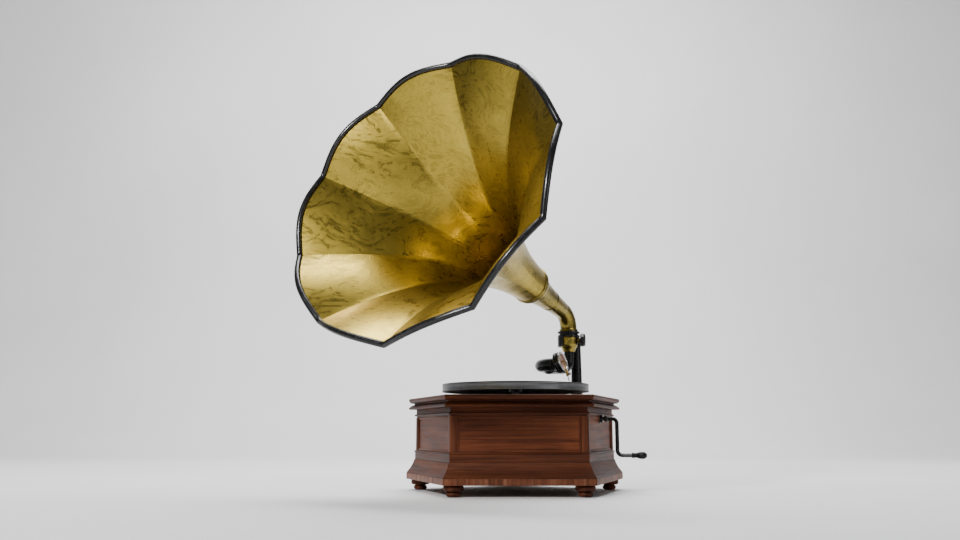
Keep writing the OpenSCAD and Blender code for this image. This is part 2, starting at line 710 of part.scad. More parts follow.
// Bent tube that turns in the end of the leg and reaches round to the back of the sound box
module gooseneck() {
    color("#161616") in_case() translate([bend_cx, bend_cy, z_arm]) rotate(leg_az - 90) ringed(concat(
        ring_at(bend_r, 0, gap - sleeve_l, tube_r),
        bend_rings(bend_r, 0, bend_turn - 7, 10, tube_r),
        bend_rings(bend_r, bend_turn - 7, 0, 10, tube_r - arm_wall),
        ring_at(bend_r, 0, gap - sleeve_l, tube_r - arm_wall)));
}
module sound_box() {
    color("#c9c9cd") in_box() translate([0, 0, -box_t]) difference() {
        union() {
            cylinder(r = box_r, h = box_t - 1);
            translate([0, 0, -2]) cylinder(r = 9, h = 2);
        }
        translate([0, 0, 2]) cylinder(r = box_r - 3, h = box_t);
        translate([0, 0, -4]) cylinder(r = 5, h = 8);
    }
}
module box_ring() {
    color("#d8d8dc") in_box() translate([0, 0, -1]) tube(box_r, 4, 2);
}
module diaphragm() {
    color("#c98f78") in_box() translate([0, 0, -2.4]) cylinder(r = box_r - 3.2, h = 0.8);
}
// Lever from the middle of the diaphragm over the ring's edge to the needle's socket
module stylus_bar() {
    color("#8a6a2c") in_box() difference() {
        union() {
            translate([-1.5, -1.5, 1.6]) cube([box_r + 2, 3, 1.4]);
            translate([-1.5, -1.5, -1.3]) cube([3, 3, 2.9]);
            translate([box_r - 1, 0, needle_z]) rotate([0, 90, 0]) cylinder(r = 2.6, h = 9);
        }
        translate([box_r + 1, 0, needle_z]) rotate([0, 90, 0]) cylinder(r = 0.9, h = 9);
        translate([box_r + 5, 0, needle_z]) cylinder(r = 1, h = 6);
        translate([box_r - 3, -3, -2]) cube([4, 6, 3.3]);
    }
}
module needle() {
    color("#d0d0d4") in_box() translate([box_r + 1.2, 0, needle_z]) rotate([0, 90, 0]) {
        cylinder(r = 0.85, h = needle_l - box_r - 6.2);
        translate([0, 0, needle_l - box_r - 6.2]) cylinder(r1 = 0.85, r2 = 0.1, h = 5);
    }
}
module needle_screw() {
    color("#c9c9cd") in_box() translate([box_r + 5, 0, needle_z]) {
        translate([0, 0, 0.95]) cylinder(r = 0.95, h = 4);
        translate([0, 0, 3.2]) cylinder(r = 2.6, h = 2.4);
    }
}

// ---- horn ----
// The bell flares from its throat (u = 0) to its mouth (u = 1)
function flare(u) = 0.14 * u + 0.86 * pow(u, 2.4);
function flare_slope(u) = 0.14 + 0.86 * 2.4 * pow(u, 1.4);
edge_r = mouth_r - 4;
edge_z = -2.6;
function bell_r(u) = throat_r + (edge_r - throat_r) * flare(u);
function bell_slope(u) = atan((edge_r - throat_r) * flare_slope(u) / (bell_l + edge_z));
half_petal = 180 / petals;
// A petal's section is part of a circle at the throat and flatter at the mouth
function roundness(u) = 1 - 0.41 * u * u;
function crown(f) = cos(90 * f);
// A point of the petal: u along it, f across it from -1 to 1, and depth t below its back
function petal_point(u, f, t) = let (
    r = bell_r(u) * (cos(half_petal) / cos(half_petal * f) + (1 - cos(half_petal)) * roundness(u) * crown(f))
        - t * cos(bell_slope(u)),
    z = (bell_l + edge_z) * (u - 1) + edge_z + petal_wave * pow(u, 3) * crown(f) + t * sin(bell_slope(u)))
    [r * cos(half_petal * f), r * sin(half_petal * f), z];
petal_rows = 12;
petal_cols = 6;
petal_side = (petal_rows + 1) * (petal_cols + 1);
function grid_at(i, j, layer) = layer * petal_side + i * (petal_cols + 1) + j;
function two_triangles(a, b, c, d) = [[a, b, c], [a, c, d]];
petal_points = [for (layer = [0, 1], i = [0:petal_rows], j = [0:petal_cols])
    petal_point(i / petal_rows, 2 * j / petal_cols - 1, layer * sheet_t)];
petal_faces = concat(
    [for (i = [0:petal_rows - 1], j = [0:petal_cols - 1], t = two_triangles(
        grid_at(i, j, 0), grid_at(i, j + 1, 0), grid_at(i + 1, j + 1, 0), grid_at(i + 1, j, 0))) t],
    [for (i = [0:petal_rows - 1], j = [0:petal_cols - 1], t = two_triangles(
        grid_at(i, j, 1), grid_at(i + 1, j, 1), grid_at(i + 1, j + 1, 1), grid_at(i, j + 1, 1))) t],
    [for (i = [0:petal_rows - 1], t = two_triangles(
        grid_at(i, 0, 0), grid_at(i + 1, 0, 0), grid_at(i + 1, 0, 1), grid_at(i, 0, 1))) t],
    [for (i = [0:petal_rows - 1], t = two_triangles(grid_at(i, petal_cols, 0), grid_at(i, petal_cols, 1),
        grid_at(i + 1, petal_cols, 1), grid_at(i + 1, petal_cols, 0))) t],
    [for (j = [0:petal_cols - 1], t = two_triangles(
        grid_at(0, j, 0), grid_at(0, j, 1), grid_at(0, j + 1, 1), grid_at(0, j + 1, 0))) t],
    [for (j = [0:petal_cols - 1], t = two_triangles(grid_at(petal_rows, j, 0), grid_at(petal_rows, j + 1, 0),
        grid_at(petal_rows, j + 1, 1), grid_at(petal_rows, j, 1))) t]);
module petal(k) {
    color("#b8963e") in_horn() rotate((k - 0.5) * 360 / petals) polyhedron(petal_points, petal_faces);
}
// The rolled rim follows the petals' wavy edge all the way round
rim_sides = 8;
rim_steps = petals * petal_cols;
function rim_middle(s) = let (
    f = 2 * (s % petal_cols) / petal_cols - 1,
    p = petal_point(1, f, 0),
    r = norm([p[0], p[1]]) + 4, a = (floor(s / petal_cols) + 0.5) * 360 / petals + half_petal * f)
    [r, a, p[2] + 2.6];
rim_points = [for (s = [0:rim_steps - 1], q = [0:rim_sides - 1])
    let (m = rim_middle(s), w = (q + 0.5) * 360 / rim_sides, r = m[0] + roll_r * cos(w))
    [r * cos(m[1]), r * sin(m[1]), m[2] + roll_r * sin(w)]];
rim_faces = [for (s = [0:rim_steps - 1], q = [0:rim_sides - 1], t = two_triangles(
    s * rim_sides + q, s * rim_sides + (q + 1) % rim_sides,
    ((s + 1) % rim_steps) * rim_sides + (q + 1) % rim_sides, ((s + 1) % rim_steps) * rim_sides + q)) t];
module horn_rim() { color("#101012") in_horn() polyhedron(rim_points, rim_faces); }
module horn_neck() {
    color("#b8963e") in_horn() translate([0, 0, -elbow_start]) rotate_extrude() polygon(concat(
        [[elbow_tube_r - 1, 0], [elbow_tube_r, 0]],
        [for (p = neck_profile) [p[0], p[1] + elbow_start - bell_l - neck_l]],
        [[throat_r - 1, elbow_start - bell_l - gap]],
        [for (p = [[58, 30], [48, 26.5], [30, 22.5], [0, neck_end_r]])
            [p[1] - 1, p[0] + elbow_start - bell_l - neck_l]]));
}
// Outside of the neck with its seam and its two ring beads: radius, and height over the seam
neck_profile = [[neck_end_r, -0.6], [neck_end_r + 0.6, 0], [neck_end_r + 0.2, 0.8], [22.5, 30], [26.5, 48],
    [30, 58], [32.6, 60], [33.4, 61.6], [32.6, 63.2], [32, 64], [33.8, 65.4], [34.6, 67], [33.8, 68.6],
    [33.2, neck_l - gap]];
// Bent tube from the neck down to the spigot that turns in the collar
module horn_elbow() {
    shoulder = z_lip - z_collar_top - gap;
    spigot = z_lip - z_swivel - ledge_h - 2.4;
    inner_r = elbow_tube_r - 1;
    color("#b8963e") at_swivel() translate([0, 0, z_lip]) rotate(horn_az) translate([elbow_bend_r, 0, 0])
        rotate([90, 0, 0]) rotate(180 - elbow_turn) ringed(concat(
            bend_rings(elbow_bend_r, 0, elbow_turn, 10, elbow_tube_r),
            ring_at(elbow_bend_r, elbow_turn, 0.4, lip_r),
            ring_at(elbow_bend_r, elbow_turn, shoulder, lip_r),
            ring_at(elbow_bend_r, elbow_turn, shoulder, spigot_r),
            ring_at(elbow_bend_r, elbow_turn, spigot, spigot_r),
            ring_at(elbow_bend_r, elbow_turn, spigot, spigot_r - 1.4),
            bend_rings(elbow_bend_r, elbow_turn, 0, 10, inner_r)));
}

feet();
base_board();
base_band();
plinth();
base_rail();
corner_posts();
side_panels();
frieze_rail();
cornice();
motor_board();
wood_screws();
crank_escutcheon();
motor_top_plate();
motor_bottom_plate();
motor_pillars();
spring_barrel();
barrel_cover();
mainspring();
barrel_arbor();
ratchet_wheel();
contrate_wheel();
pawl();
intermediate_gear();
spindle();
spindle_gear();
governor_shaft();
governor_weights();
governor_disc();
regulator_lever();
speed_knob();
winding_shaft();
crank();
crank_handle();
turntable();
turntable_felt();
brake_lever();
bracket();
throat_cup();
clamp_knob();
tone_arm();
gooseneck();
sound_box();
box_ring();
diaphragm();
stylus_bar();
needle();
needle_screw();
horn_rim();
horn_neck();
horn_elbow();
for (k = [1:petals]) petal(k);
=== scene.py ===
"""The looks of the wind-up phonograph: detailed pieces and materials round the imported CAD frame.

Shapes are worked out in millimetres from the case's middle on the floor, and placed in metres by CASE.
"""

import json
import math
import random

import bmesh
import bpy
from mathutils import Matrix, Vector


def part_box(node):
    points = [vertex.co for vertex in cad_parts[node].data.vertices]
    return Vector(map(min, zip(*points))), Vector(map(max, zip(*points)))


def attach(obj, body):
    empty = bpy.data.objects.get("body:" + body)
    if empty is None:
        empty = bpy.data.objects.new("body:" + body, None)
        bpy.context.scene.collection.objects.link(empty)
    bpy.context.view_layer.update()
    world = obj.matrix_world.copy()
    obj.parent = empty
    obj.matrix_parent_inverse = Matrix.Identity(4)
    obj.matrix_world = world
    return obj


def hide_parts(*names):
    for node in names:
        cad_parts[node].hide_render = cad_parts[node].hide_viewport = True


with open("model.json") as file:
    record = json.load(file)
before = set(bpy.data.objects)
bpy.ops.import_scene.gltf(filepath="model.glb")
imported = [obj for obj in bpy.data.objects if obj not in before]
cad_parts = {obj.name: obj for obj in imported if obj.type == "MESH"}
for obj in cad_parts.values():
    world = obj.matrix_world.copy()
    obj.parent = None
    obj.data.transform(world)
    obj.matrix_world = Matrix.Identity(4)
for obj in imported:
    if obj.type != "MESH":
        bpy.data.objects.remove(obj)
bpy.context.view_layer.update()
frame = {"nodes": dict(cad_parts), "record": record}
nodes = frame["nodes"]
chance = random.Random(7)

# ---------------------------------------------------------------- places, from the frame
MM = 0.001


def level(node, top=False):
    """Height in millimetres of a CAD node's underside, or of its top."""
    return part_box(node)[1 if top else 0].z / MM


table_lo, table_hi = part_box("turntable")
CENTRE = Vector(((table_lo.x + table_hi.x) / 2, (table_lo.y + table_hi.y) / 2, 0))
CASE = Matrix.Translation(CENTRE) @ Matrix.Scale(MM, 4)
TABLE_R = (table_hi.x - table_lo.x) / 2 / MM


def turned(axis, degrees):
    return Matrix.Rotation(math.radians(degrees), 4, axis)


def moved(x, y, z):
    return Matrix.Translation((x, y, z))


# The swivel that the arm and the horn turn on, and the horn's middle at its mouth
SWIVEL_AT = (101.5, 79)
HORN_AZ, HORN_EL, MOUTH_D = -126, 18, 430
Z_LIP, ELBOW_BEND = 286, 35
ELBOW_TANGENT = ELBOW_BEND * math.tan(math.radians(90 - HORN_EL) / 2)
MOUTH = (
    SWIVEL_AT[0] + MOUTH_D * math.cos(math.radians(HORN_AZ)),
    SWIVEL_AT[1] + MOUTH_D * math.sin(math.radians(HORN_AZ)),
    Z_LIP + ELBOW_TANGENT + MOUTH_D * math.tan(math.radians(HORN_EL)),
)
ELBOW_START = MOUTH_D / math.cos(math.radians(HORN_EL)) - ELBOW_TANGENT
SWIVEL = CASE @ moved(*SWIVEL_AT, 0)
HORN = CASE @ moved(*MOUTH) @ turned("Z", HORN_AZ) @ turned("Y", 90 - HORN_EL)

# The tone arm's leg and bend, and the sound box, which is placed by its needle's tip
LEG_AZ, LEG_L, BEND_R, BEND_TURN, Z_ARM, ELBOW_R = -135, 60.8, 45, 107, 214, 16
BOX_R, BOX_LEAN, ARM_REACH, TIP_AZ, NEEDLE_L = 18, 15, 126, -95.2, 38.4
BOX_AZ = LEG_AZ + BEND_TURN
TIP = (
    SWIVEL_AT[0] + ARM_REACH * math.cos(math.radians(TIP_AZ)),
    SWIVEL_AT[1] + ARM_REACH * math.sin(math.radians(TIP_AZ)),
    level("turntable_felt", True) + 0.3,
)
LEG = SWIVEL @ moved(0, 0, Z_ARM) @ turned("Z", LEG_AZ)
BOX = CASE @ moved(*TIP) @ turned("Z", BOX_AZ) @ turned("Y", 90 - BOX_LEAN) @ moved(-NEEDLE_L, 0, -2)

# The winding axis: +Z out of the wall, +X down
WIND_AZ, Z_WIND, THROW, ROD_R = -18, 122, 60, 3.3


def on_winding_axis(out, down=0):
    return CASE @ turned("Z", WIND_AZ) @ moved(out, 0, Z_WIND) @ turned("Y", 90) @ moved(down, 0, 0)


# The five-sided case: the middle of a side is this far from the case's middle for each side's length
SIDES = 5
HALF_TAN = math.tan(math.radians(180 / SIDES))


def apothem(side):
    return side / 2 / HALF_TAN


# Lengths of a side of the walls, the lid and the plinth, then the walls' thickness and a post's face
WALL_SIDE, LID_SIDE, PLINTH_SIDE, WALL_T, POST_W = 217, 233.5, 237.5, 12, 11
WALL, LID, PLINTH = apothem(WALL_SIDE), apothem(LID_SIDE), apothem(PLINTH_SIDE)
INNER = WALL - WALL_T
FOOT_RING = 175
SIDE_AZ = [k * 360 / SIDES - 90 for k in range(SIDES)]
CORNER_AZ = [k * 360 / SIDES - 54 for k in range(SIDES)]


# ---------------------------------------------------------------- meshes
class Shape:
    """Gathers faces in millimetres, with a grain coordinate in metres at each point, +X along the fibres."""

    def __init__(self):
        self.bm = bmesh.new()
        self.grain = self.bm.verts.layers.float_vector.new("grain")

    def point(self, co, grain):
        v = self.bm.verts.new(co)
        v[self.grain] = grain
        return v

    def grid(self, rows, close_rows=False, close_columns=False, flip=False):
        """Faces between rows of (place, grain) points; a row or column may close on itself."""
        vs = [[self.point(*p) for p in row] for row in rows]
        n, m = len(vs), len(vs[0])
        for i in range(n if close_rows else n - 1):
            for j in range(m if close_columns else m - 1):
                k, l = (i + 1) % n, (j + 1) % m
                face = [vs[i][j], vs[k][j], vs[k][l], vs[i][l]]
                self.bm.faces.new(face[::-1] if flip else face)
        return vs

    def lathe(self, profile, place=Matrix.Identity(4), steps=72, wave=None, arc=None):
        """A solid of revolution about +Z; wave(angle, r, z) may change a point's radius."""
        start, end = arc or (0, 360)
        count = steps if arc is None else steps + 1
        rows = []
        for i in range(count):
            a = math.radians(start + (end - start) * i / steps)
            row = []
            for r, z in profile:
                q = wave(a, r, z) if wave else r
                p = Vector((q * math.cos(a), q * math.sin(a), z))
                row.append((place @ p, Vector((p.z, p.x, p.y)) * MM))
            rows.append(row)
        vs = self.grid(rows, close_rows=arc is None, close_columns=True)
        if arc is not None:
            self.bm.faces.new(vs[0])
            self.bm.faces.new(vs[-1][::-1])

    def tube(self, stations, place=Matrix.Identity(4), steps=32):
        """Round tube through (point, radius) stations, with a flat end at each end."""
        points = [Vector(p) for p, r in stations]
        ways = []
        for i in range(len(points)):
            way = points[min(i + 1, len(points) - 1)] - points[max(i - 1, 0)]
            ways.append(way.normalized() if way.length > 1e-9 else ways[-1])
        side = ways[0].orthogonal().normalized()
        rows, along = [], 0.0
        for i, (p, way) in enumerate(zip(points, ways)):
            side = (side - way * side.dot(way)).normalized()
            other = way.cross(side)
            along += (p - points[i - 1]).length if i else 0
            r = stations[i][1]
            rows.append([
                (place @ (p + (side * math.cos(a) + other * math.sin(a)) * r),
                 Vector((along, r * math.cos(a), r * math.sin(a))) * MM)
                for a in [2 * math.pi * k / steps for k in range(steps)]
            ])
        vs = self.grid(rows, close_columns=True)
        self.bm.faces.new(vs[0][::-1])
        self.bm.faces.new(vs[-1])

    def moulding(self, profile, cross=False, steps=12):
        """A closed (apothem, height) profile run along the five sides, mitred at the corners."""
        lengths = [0.0]
        for (a0, z0), (a1, z1) in zip(profile, profile[1:]):
            lengths.append(lengths[-1] + math.hypot(a1 - a0, z1 - z0))
        for k, az in enumerate(SIDE_AZ):
            turn = CASE @ turned("Z", az)
            rows = []
            for i in range(steps + 1):
                share = 2 * i / steps - 1
                row = []
                for (a, z), v in zip(profile, lengths):
                    t = share * (a * HALF_TAN - 0.05)
                    grain = Vector((v, t, k * 31.0)) if cross else Vector((t + k * 411.0, v, k * 31.0))
                    row.append((turn @ Vector((a, t, z)), grain * MM))
                rows.append(row)
            vs = self.grid(rows, close_columns=True)
            self.bm.faces.new(vs[0])
            self.bm.faces.new(vs[-1][::-1])

    def block(self, lo, hi, place=Matrix.Identity(4), bevel=0.6, upright=False):
        """A box with rounded edges; the grain runs along Y, or along Z."""
        made = bmesh.ops.create_cube(self.bm, size=1)["verts"]
        centre, size = (Vector(lo) + Vector(hi)) / 2, Vector(hi) - Vector(lo)
        for v in made:
            v.co = centre + Vector(v.co[i] * size[i] for i in range(3))
        if bevel:
            edges = list({e for v in made for e in v.link_edges})
            rounded = bmesh.ops.bevel(
                self.bm, geom=edges, offset=bevel, segments=3, profile=0.5, affect="EDGES",
            )
            faces = {f for v in rounded["verts"] for f in v.link_faces}
            made = list({v for f in faces for v in f.verts})
        shift = Vector((chance.random(), chance.random(), chance.random()))
        for v in made:
            x, y, z = v.co * MM
            v[self.grain] = shift + (Vector((z, y, x)) if upright else Vector((y, z, x)))
            v.co = place @ v.co

    def finish(self, name, body, material, replaces, sharp=32):
        """Makes the object, rides it on its body and hides the CAD nodes that it replaces."""
        bmesh.ops.remove_doubles(self.bm, verts=self.bm.verts, dist=1e-7)
        bmesh.ops.dissolve_degenerate(self.bm, edges=self.bm.edges, dist=1e-7)
        bmesh.ops.recalc_face_normals(self.bm, faces=self.bm.faces)
        for e in self.bm.edges:
            if len(e.link_faces) == 2 and e.calc_face_angle(0) > math.radians(sharp):
                e.smooth = False
        mesh = bpy.data.meshes.new(name)
        self.bm.to_mesh(mesh)
        self.bm.free()
        for face in mesh.polygons:
            face.use_smooth = True
        piece = bpy.data.objects.new(name, mesh)
        bpy.context.scene.collection.objects.link(piece)
        mesh.materials.append(material)
        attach(piece, body)
        if replaces:
            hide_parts(*([replaces] if isinstance(replaces, str) else replaces))
        return piece


def eased(points, r=0.6, steps=3, closed=True):
    """The outline with each corner rounded to about radius r."""
    out, n = [], len(points)
    for i, p in enumerate(points):
        p = Vector(p)
        if not closed and i in (0, n - 1):
            out.append(tuple(p))
            continue
        a, b = Vector(points[i - 1]) - p, Vector(points[(i + 1) % n]) - p
        if a.length < 1e-9 or b.length < 1e-9 or (abs(p.x) < 1e-9):
            out.append(tuple(p))
            continue
        cut = min(r, a.length * 0.45, b.length * 0.45)
        a, b = p + a.normalized() * cut, p + b.normalized() * cut
        for k in range(steps + 1):
            t = k / steps
            out.append(tuple(a * (1 - t) ** 2 + p * 2 * t * (1 - t) + b * t * t))
    return out


def bent(points, r, steps=8):
    """A path through the points with each inner corner turned on an arc of radius r."""
    out = [Vector(points[0])]
    for a, p, b in zip(points, points[1:], points[2:]):
        a, p, b = Vector(a), Vector(p), Vector(b)
        u, w = (a - p).normalized(), (b - p).normalized()
        half = u.angle(w) / 2
        cut = r / math.tan(half)
        middle = p + (u + w).normalized() * (r / math.sin(half))
        first, last = p + u * cut - middle, p + w * cut - middle
        for k in range(steps + 1):
            out.append(middle + first.normalized().slerp(last.normalized(), k / steps) * r)
    out.append(Vector(points[-1]))
    return out


# ---------------------------------------------------------------- materials
class Finish:
    """A procedural material: node helpers round one Principled shader."""

    def __init__(self, name, **values):
        self.material = bpy.data.materials.new(name)
        self.material.use_nodes = True
        self.tree = self.material.node_tree
        self.shader = self.tree.nodes["Principled BSDF"]
        for key, value in values.items():
            self.shader.inputs[key.replace("_", " ")].default_value = value

    def node(self, kind, inputs=(), **settings):
        n = self.tree.nodes.new(kind)
        for key, value in settings.items():
            setattr(n, key, value)
        for key, value in dict(inputs).items():
            socket = n.inputs[key]
            if isinstance(value, bpy.types.NodeSocket):
                self.tree.links.new(value, socket)
            else:
                socket.default_value = value
        return n

    def place(self, scale, grain=False):
        if grain:
            source = self.node("ShaderNodeAttribute", attribute_name="grain").outputs["Vector"]
        else:
            source = self.node("ShaderNodeTexCoord").outputs["Object"]
        return self.node("ShaderNodeMapping", {"Vector": source, "Scale": scale}).outputs[0]

    def noise(self, place, scale, detail=6, roughness=0.6, distortion=0):
        return self.node("ShaderNodeTexNoise", {
            "Vector": place, "Scale": scale, "Detail": detail, "Roughness": roughness,
            "Distortion": distortion,
        }).outputs["Fac"]

    def ramp(self, value, *stops):
        n = self.node("ShaderNodeValToRGB", {"Fac": value})
        while len(n.color_ramp.elements) < len(stops):
            n.color_ramp.elements.new(0.5)
        for element, (at, colour) in zip(n.color_ramp.elements, stops):
            element.position = at
            element.color = (*colour, 1) if len(colour) == 3 else (colour[0],) * 3 + (1,)
        return n.outputs[0]

    def mix(self, share, a, b, how="MIX"):
        n = self.node("ShaderNodeMix", data_type="RGBA", blend_type=how)
        for at, value in ((0, share), (6, a), (7, b)):
            if isinstance(value, bpy.types.NodeSocket):
                self.tree.links.new(value, n.inputs[at])
            else:
                n.inputs[at].default_value = (*value, 1) if isinstance(value, tuple) else value
        return n.outputs[2]

    def range(self, value, low, high, from_low=0.3, from_high=0.7):
        return self.node("ShaderNodeMapRange", {
            "Value": value, "From Min": from_low, "From Max": from_high, "To Min": low, "To Max": high,
        }).outputs[0]

    def colour(self, socket):
        self.tree.links.new(socket, self.shader.inputs["Base Color"])

    def rough(self, socket):
        self.tree.links.new(socket, self.shader.inputs["Roughness"])

    def bump(self, height, strength, distance):
        n = self.node("ShaderNodeBump", {"Height": height, "Strength": strength, "Distance": distance})
        if self.shader.inputs["Normal"].links:
            self.tree.links.new(self.shader.inputs["Normal"].links[0].from_socket, n.inputs["Normal"])
        self.tree.links.new(n.outputs[0], self.shader.inputs["Normal"])

    def wear(self, share_low=0.52, share_high=0.62):
        """1 where edges stand out, by how the surface curves, for worn edges."""
        pointy = self.node("ShaderNodeNewGeometry").outputs["Pointiness"]
        return self.range(pointy, 0, 1, share_low, share_high)


def wood(name, dark, middle, light, fine=420, gloss=0.3):
    m = Finish(name, Coat_Weight=0.02, Coat_Roughness=0.3, Specular_IOR_Level=0.12)
    bands = m.noise(m.place((3.2, 42, 30), True), 1, 5, 0.55, 1.4)
    fibres = m.noise(m.place((9, fine, fine * 0.8), True), 1, 9, 0.68, 0.4)
    pores = m.noise(m.place((90, fine * 4, fine * 4), True), 1, 3, 0.7)
    blotch = m.noise(m.place((7, 9, 9)), 1, 4, 0.5)
    broad = m.ramp(bands, (0.3, dark), (0.5, middle), (0.72, light))
    lines = m.ramp(fibres, (0.34, (0.42,)), (0.55, (1.0,)), (0.75, (1.25,)))
    mottled = m.mix(0.85, broad, lines, "MULTIPLY")
    m.colour(m.mix(m.range(blotch, 0, 0.45), mottled, tuple(c * 0.5 for c in dark)))
    m.rough(m.range(fibres, gloss - 0.06, gloss + 0.16))
    m.bump(fibres, 0.18, 0.0006)
    m.bump(pores, 0.12, 0.0003)
    return m.material


def brass_sheet(name, dark, bright, roughness, swirl=0.35):
    """Lacquered sheet brass, rubbed in swirls by hand, with dull stains."""
    m = Finish(name, Metallic=1.0, Coat_Weight=0.08, Coat_Roughness=0.3)
    at = m.place((1, 1, 1))
    stains = m.noise(at, 9, 5, 0.6, 0.8)
    swirls = m.noise(m.place((1, 1, 1.6)), 14, 8, 0.66, 4.5)
    strokes = m.noise(m.place((1, 1.5, 1)), 40, 6, 0.7, 6)
    lines = m.ramp(swirls, (0.42, (0.0,)), (0.5, (1.0,)), (0.58, (0.0,)))
    base = m.mix(m.range(stains, 0, 1, 0.32, 0.72), dark, bright)
    m.colour(m.mix(m.node("ShaderNodeMath", {0: lines, 1: swirl}, operation="MULTIPLY").outputs[0],
                   base, tuple(min(1, c * 1.35) for c in bright)))
    m.rough(m.range(swirls, roughness - 0.08, roughness + 0.12))
    m.bump(swirls, 0.10, 0.0016)
    m.bump(strokes, 0.10, 0.0007)
    return m.material


def enamel(name, colour, roughness=0.2, wear_to=(0.16, 0.15, 0.13)):
    """Stoved black enamel with faint orange peel, dust and worn edges."""
    m = Finish(name, Coat_Weight=0.12, Coat_Roughness=0.12, Specular_IOR_Level=0.35)
    dust = m.noise(m.place((1, 1, 1)), 60, 6, 0.7)
    peel = m.noise(m.place((1, 1, 1)), 420, 2, 0.5)
    tinted = m.mix(m.range(dust, 0, 0.25), colour, tuple(min(1, c * 3 + 0.02) for c in colour))
    m.colour(m.mix(m.wear(), tinted, wear_to))
    m.rough(m.range(dust, roughness - 0.05, roughness + 0.14))
    m.bump(peel, 0.05, 0.0004)
    return m.material


def metal(name, colour, roughness, turned_scale=(1, 1, 1), fine=500, stain=0.3):
    """Plated or machined metal with fine tool marks and tarnish."""
    m = Finish(name, Metallic=1.0)
    marks = m.noise(m.place(turned_scale), fine, 4, 0.6)
    tarnish = m.noise(m.place((1, 1, 1)), 45, 5, 0.65, 0.6)
    m.colour(m.mix(m.range(tarnish, 0, stain), colour, tuple(c * 0.45 for c in colour)))
    m.rough(m.range(marks, roughness - 0.07, roughness + 0.12))
    m.bump(marks, 0.08, 0.0002)
    return m.material


def felt_cloth(name, colour):
    m = Finish(name, Roughness=0.95, Sheen_Weight=0.4, Sheen_Roughness=0.5)
    fuzz = m.noise(m.place((1, 1, 1)), 900, 5, 0.75)
    patches = m.noise(m.place((1, 1, 1)), 30, 4, 0.6)
    m.colour(m.mix(m.range(patches, 0, 0.6), colour, tuple(c * 1.9 for c in colour)))
    m.bump(fuzz, 0.6, 0.0008)
    return m.material


MAHOGANY = wood("mahogany", (0.03, 0.008, 0.003), (0.082, 0.022, 0.008), (0.15, 0.044, 0.015), 420, 0.45)
PANEL_WOOD = wood(
    "mahogany_panel", (0.042, 0.011, 0.004), (0.12, 0.031, 0.011), (0.21, 0.062, 0.022), 360, 0.42,
)
BANDING = wood("banding", (0.05, 0.014, 0.006), (0.17, 0.055, 0.025), (0.33, 0.14, 0.075), 260, 0.42)
PINE = wood("pine", (0.25, 0.14, 0.07), (0.4, 0.26, 0.14), (0.5, 0.35, 0.2), 300, 0.6)
BLACK_WOOD = wood("black_wood", (0.006, 0.005, 0.005), (0.012, 0.011, 0.01), (0.022, 0.02, 0.018), 420, 0.22)
HORN_BRASS = brass_sheet("horn_brass", (0.19, 0.135, 0.018), (0.46, 0.335, 0.052), 0.3)
NECK_BRASS = brass_sheet("neck_brass", (0.14, 0.105, 0.02), (0.40, 0.30, 0.065), 0.28, 0.2)
SCREW_BRASS = metal("screw_brass", (0.62, 0.45, 0.17), 0.3)
GEAR_BRASS = metal("gear_brass", (0.70, 0.52, 0.2), 0.32)
ENAMEL = enamel("black_enamel", (0.004, 0.004, 0.0045), 0.24, (0.06, 0.055, 0.05))
RIM_ENAMEL = enamel("rim_enamel", (0.003, 0.003, 0.0035), 0.22, (0.03, 0.026, 0.02))
NICKEL = metal("nickel", (0.72, 0.71, 0.69), 0.2, (1, 1, 1), 500, 0.2)
TABLE_METAL = metal("turntable_metal", (0.24, 0.245, 0.25), 0.4, (1, 1, 8), 260, 0.4)
STEEL = metal("steel_plate", (0.42, 0.43, 0.45), 0.38)
SPRING_STEEL = metal("spring_steel", (0.16, 0.18, 0.24), 0.35)
COPPER = metal("copper_face", (0.78, 0.47, 0.36), 0.34, (1, 1, 1), 300, 0.35)
FELT = felt_cloth("felt", (0.012, 0.012, 0.012))


# ---------------------------------------------------------------- horn
PETALS, HALF_PETAL = 10, 18
# The bell's length and radii, and how far each petal's crown stands out past its cusps at the mouth
BELL_L, THROAT_R, CUSP_R, SHEET_T, WAVE = 315, 33, 239, 0.8, 16
# The sheet stops this far back from the roll's middle, which is this far outside it
EDGE_BACK, ROLL_OUT, ROLL_R = 2.6, 4, 5
COS_HALF = math.cos(math.radians(HALF_PETAL))


def bell_point(u, f, t):
    """A point of a petal: u from throat to mouth, f from -1 to 1 across it, t in from its outer face."""
    flare = 0.14 * u + 0.86 * u**2.4
    slope = math.atan((CUSP_R - THROAT_R) * (0.14 + 2.064 * u**1.4) / (BELL_L - EDGE_BACK))
    wave = math.cos(math.radians(90 * f))
    crown = COS_HALF / math.cos(math.radians(HALF_PETAL * f)) + (1 - COS_HALF) * (1 - 0.41 * u * u) * wave
    r = (THROAT_R + (CUSP_R - THROAT_R) * flare) * crown - t * math.cos(slope)
    z = (BELL_L - EDGE_BACK) * (u - 1) - EDGE_BACK + WAVE * u**3 * wave + t * math.sin(slope)
    return r, z


def horn_point(r, degrees, z):
    a = math.radians(degrees)
    return HORN @ Vector((r * math.cos(a), r * math.sin(a), z))


